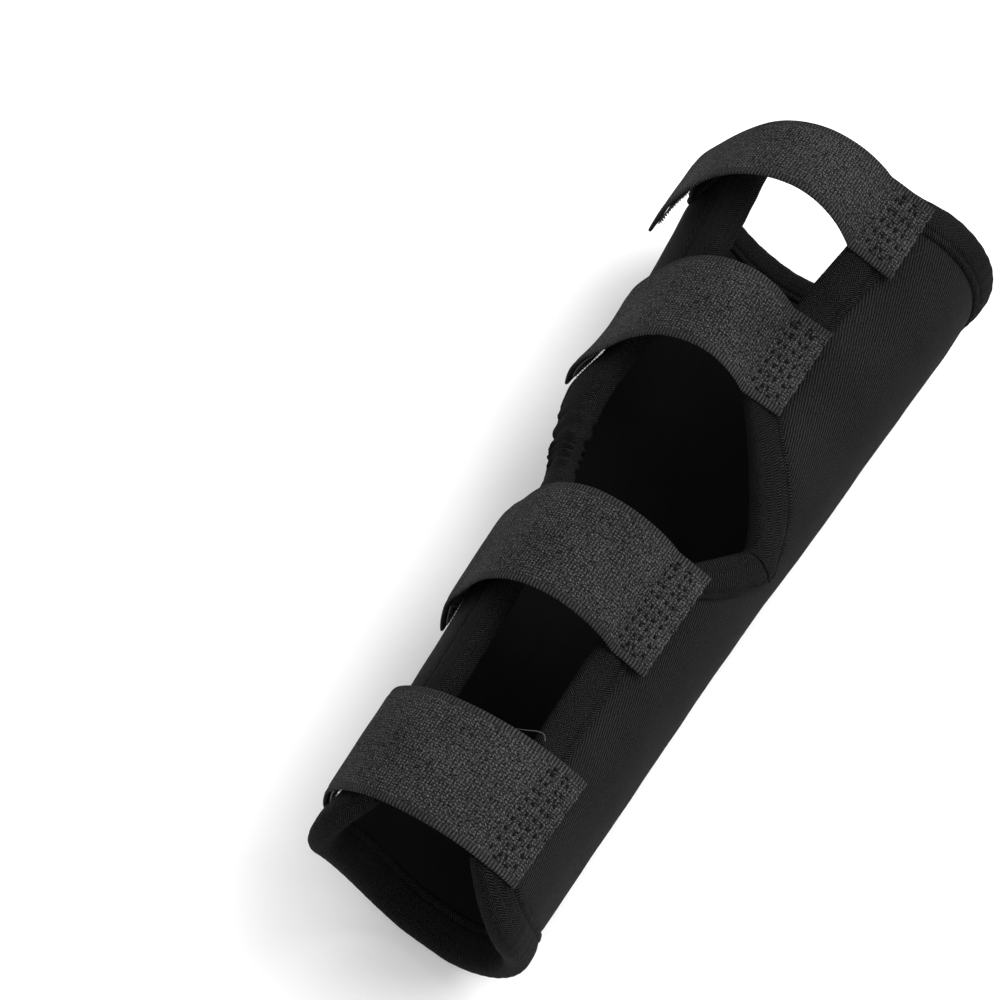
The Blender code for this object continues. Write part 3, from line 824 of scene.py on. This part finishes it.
def make_strap(name, strap, webbing, thread):
    """Webbing of one strap from its sewn end to its cut tip, and its box stitching."""
    angles, marks = strap_angles(strap)
    width = (strap["high"] - strap["low"]) * LENGTH
    across, near, top_height, bottom_height = strap_section(width)
    run, side_way = np.meshgrid(marks, across, indexing="ij")
    turn = np.broadcast_to(angles[:, None], run.shape)
    share = side_way / width
    frayed = 0.16 * MM * (np.sin(side_way * 1500.0) + np.sin(side_way * 3700.0 + 1.0))
    ends = np.exp(-run / (0.5 * MM)) * -1.0 + np.exp(-(marks[-1] - run) / (0.5 * MM))
    turn = turn - ends * frayed / (0.7 * MM)
    dent = np.zeros_like(run)
    runs = []
    for (run_a, across_a), (run_b, across_b) in box_stitches(strap):
        long = math.hypot(run_b - run_a, across_b - across_a)
        count = max(2, round(long / (3.5 * MM)))
        for k in range(count):
            at = [(k + 0.5 + shift) / count for shift in (-0.21, 0.21)]
            places = [(run_a + (run_b - run_a) * t, across_a + (across_b - across_a) * t) for t in at]
            centre = np.mean(places, axis=0)
            gone = ((run - centre[0]) ** 2 + (side_way - centre[1]) ** 2) / (0.95 * MM) ** 2
            dent = np.maximum(dent, 0.6 * MM * np.exp(-gone))
            points = [
                strap_point(strap, np.interp(r, marks, angles), a / width, STRAP_THICK - 0.38 * MM)
                for r, a in places
            ]
            middle_angle = np.interp(centre[0], marks, angles)
            lifted = strap_point(strap, middle_angle, centre[1] / width, STRAP_THICK + 2 * MM)
            up = lifted - (points[0] + points[1]) / 2
            runs.append((points[0], points[1], up / np.linalg.norm(up)))
    top = strap_point(strap, turn, share, top_height[None, :] - dent)
    bottom = strap_point(strap, turn, share, bottom_height[None, :] + 0.0 * run)
    uv = np.stack([run / MM, side_way / MM], axis=-1)
    edge = np.broadcast_to(near[None, :] / MM, run.shape)
    piece = swept(name, top, bottom, uv, webbing, edge=edge, flip=True, sharp=50)
    stitching = threads(name + "_box_stitching", runs, 0.42 * MM, thread)
    return piece, stitching, (width, marks[-1])


def make_hook_patch(name, strap, material):
    """Hook tape under a strap's free end: a thin ground with rows of small hooks."""
    angles = np.linspace(strap["tip"] + HOOK_LENGTH_ANGLE, strap["tip"] + 3.5, 40)
    width = (strap["high"] - strap["low"]) * LENGTH
    inset = 1.5 * MM / width
    shares = np.linspace(inset, 1 - inset, 40)
    turn, share = np.meshgrid(angles, shares, indexing="ij")
    top = strap_point(strap, turn, share, -HOOK_GAP)
    bottom = strap_point(strap, turn, share, -HOOK_GAP - HOOK_THICK * 0.5)
    length = lengths_along(top[:, 0])[-1]
    uv = np.stack([turn, share], axis=-1)
    ground = swept(name, top, bottom, uv, material, flip=True)
    hooks = []
    for i, angle in enumerate(np.linspace(angles[1], angles[-2], int(length / (1.25 * MM)))):
        shift = 0.5 * (i % 2) / (width / (1.15 * MM))
        for s in np.linspace(shares[1], shares[-2], int(width / (1.15 * MM))):
            base = strap_point(strap, angle, s + shift * 0.5, -HOOK_GAP - HOOK_THICK * 0.45)
            tip = strap_point(strap, angle - 0.5, s + shift * 0.5, -HOOK_GAP - HOOK_THICK * 0.95)
            hooks.append((base, tip))
    return ground, hooks, (width * (1 - 2 * inset), length)


def hook_stems(name, hooks, material):
    """Small bent stems of hook tape."""
    sides = 4
    points, faces = [], []
    for base, tip in hooks:
        down = tip - base
        long = np.linalg.norm(down)
        forward = np.array([0.0, 1.0, 0.0])
        side_way = np.cross(down / long, forward)
        centres = (base, base + down * 0.7, base + down + side_way * 0.2 * MM)
        start = len(points)
        for centre, radius in zip(centres, (0.22 * MM, 0.16 * MM, 0.13 * MM)):
            for k in range(sides):
                turn = 2 * math.pi * (k + 0.5) / sides
                points.append(centre + radius * (math.cos(turn) * forward + math.sin(turn) * side_way))
        for i in range(2):
            for k in range(sides):
                a, b = start + i * sides + k, start + i * sides + (k + 1) % sides
                faces.append((a, b, b + sides, a + sides))
        faces.append([start + k for k in reversed(range(sides))])
        faces.append([start + 2 * sides + k for k in range(sides)])
    return make_piece(name, np.array(points), faces, material, sharp=80)


# ---------------------------------------------------------------- studio

def make_studio():
    """Floor, world, soft lights and the camera."""
    bpy.ops.mesh.primitive_plane_add(size=6.0, location=(0, 0, 0))
    floor = bpy.context.object
    floor.name = "floor"
    floor.data.materials.append(pale_floor())
    world = bpy.data.worlds.new("studio")
    world.use_nodes = True
    world.node_tree.nodes["Background"].inputs["Color"].default_value = (1.0, 1.0, 1.0, 1.0)
    world.node_tree.nodes["Background"].inputs["Strength"].default_value = 0.85
    bpy.context.scene.world = world
    add_light("key", (0.75, 0.6, 1.15), 1.2, 22.0)
    add_light("fill", (0.5, -0.9, 0.9), 1.2, 3.0)
    add_light("back", (-0.1, 1.1, 0.9), 1.2, 5.0)
    add_camera()
    bpy.context.scene.view_settings.view_transform = "Standard"


def add_light(name, place, size, power):
    """Soft square light aimed at the guard."""
    data = bpy.data.lights.new(name, "AREA")
    data.size = size
    data.energy = power
    light = bpy.data.objects.new(name, data)
    light.location = place
    direction = -light.location
    light.rotation_euler = direction.to_track_quat("-Z", "Y").to_euler()
    bpy.context.scene.collection.objects.link(light)


def add_camera():
    """Camera above the hand end, looking down along the slit."""
    azimuth, elevation, distance = math.radians(30.68), math.radians(62.21), 0.729
    target = np.array([-0.0524, 0.0090, 0.0])
    back = np.array([
        math.sin(azimuth) * math.cos(elevation),
        -math.cos(azimuth) * math.cos(elevation),
        math.sin(elevation),
    ])
    data = bpy.data.cameras.new("camera")
    data.lens = 85.6
    data.sensor_width = 36.0
    camera = bpy.data.objects.new("camera", data)
    camera.location = target + back * distance
    camera.rotation_mode = "QUATERNION"
    camera.rotation_quaternion = Vector(-back).to_track_quat("-Z", "Y")
    bpy.context.scene.collection.objects.link(camera)
    bpy.context.scene.camera = camera


# ---------------------------------------------------------------- assembly

def flex_bend(piece):
    """Bakes the placement of a piece of the sleeve into its mesh; nothing bends it."""
    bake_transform(piece)


def build_sleeve(side, word, paints):
    """Cover, lining, bindings and seam stitching of one half of the sleeve."""
    wing = word + "_wing"
    cover = make_sleeve_layer(f"{word}_cover", side, 0.0, COVER_IN, paints["cover"], -1.0)
    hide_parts(f"{wing}_cover", "back_cover")
    lining = make_sleeve_layer(
        f"{word}_lining", side, LINING_OUT, LINING_IN, paints["lining"], 0.9, pocket_depth
    )
    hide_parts(f"{wing}_lining", "back_lining")
    flex_bend(cover)
    flex_bend(lining)
    for binding, flat, nodes in make_bindings(side, word, paints["tape"]):
        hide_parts(*nodes)
        flex_bend(binding)
    seams = threads(f"{word}_seam_stitching", seam_runs(side), 0.17 * MM, paints["thread"])
    flex_bend(seams)


def build_strap(name, strap, paints):
    """One strap, with its stitching and hook patch."""
    webbing, stitching, flat = make_strap(name, strap, paints["strap"], paints["thread"])
    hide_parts(name + "_sewn_end", name + "_webbing")
    start = strap_point(strap, strap["fold"] + 3.0, 0.5, STRAP_THICK)
    end = strap_point(strap, strap["fold"] - 9.0, 0.5, STRAP_THICK)
    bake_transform(webbing)
    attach(stitching, "right_wing")
    ground, hooks, patch_flat = make_hook_patch(name + "_hooks", strap, paints["hook"])
    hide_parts(name + "_hook_patch")
    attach(ground, name)
    stems = hook_stems(name + "_hook_stems", hooks, paints["hook"])
    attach(stems, name)


def make_loose_thread(paints):
    """Yarn end that has come loose beside the lowest strap."""
    strap = STRAPS["strap_4"]
    root = strap_point(strap, 19.0, 1.0, 0.5 * MM)
    steps = ((0.4, 1.6, 0), (-0.6, 2.8, 0.6), (-2.6, 2.6, 0.9), (-5.0, 1.5, 0.9), (-7.8, 0.5, 0.6))
    path = [root + MM * np.array(step) for step in steps]
    thread = strand("loose_thread", path, 0.16 * MM, paints["yarn"])
    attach(thread, "right_wing")


for startup in list(bpy.data.objects):
    bpy.data.objects.remove(startup)
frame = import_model()
make_studio()
paints = {
    "cover": cover_fabric(),
    "lining": lining_fabric(),
    "tape": binding_tape(),
    "strap": strap_webbing(),
    "hook": hook_tape(),
    "thread": black_thread(),
    "yarn": grey_thread(),
}
stay = frame["nodes"]["back_stay"]
stay.data.materials.clear()
stay.data.materials.append(stay_aluminium())
for side, word in ((1, "right"), (-1, "left")):
    build_sleeve(side, word, paints)
for name, strap in STRAPS.items():
    build_strap(name, strap, paints)
make_loose_thread(paints)
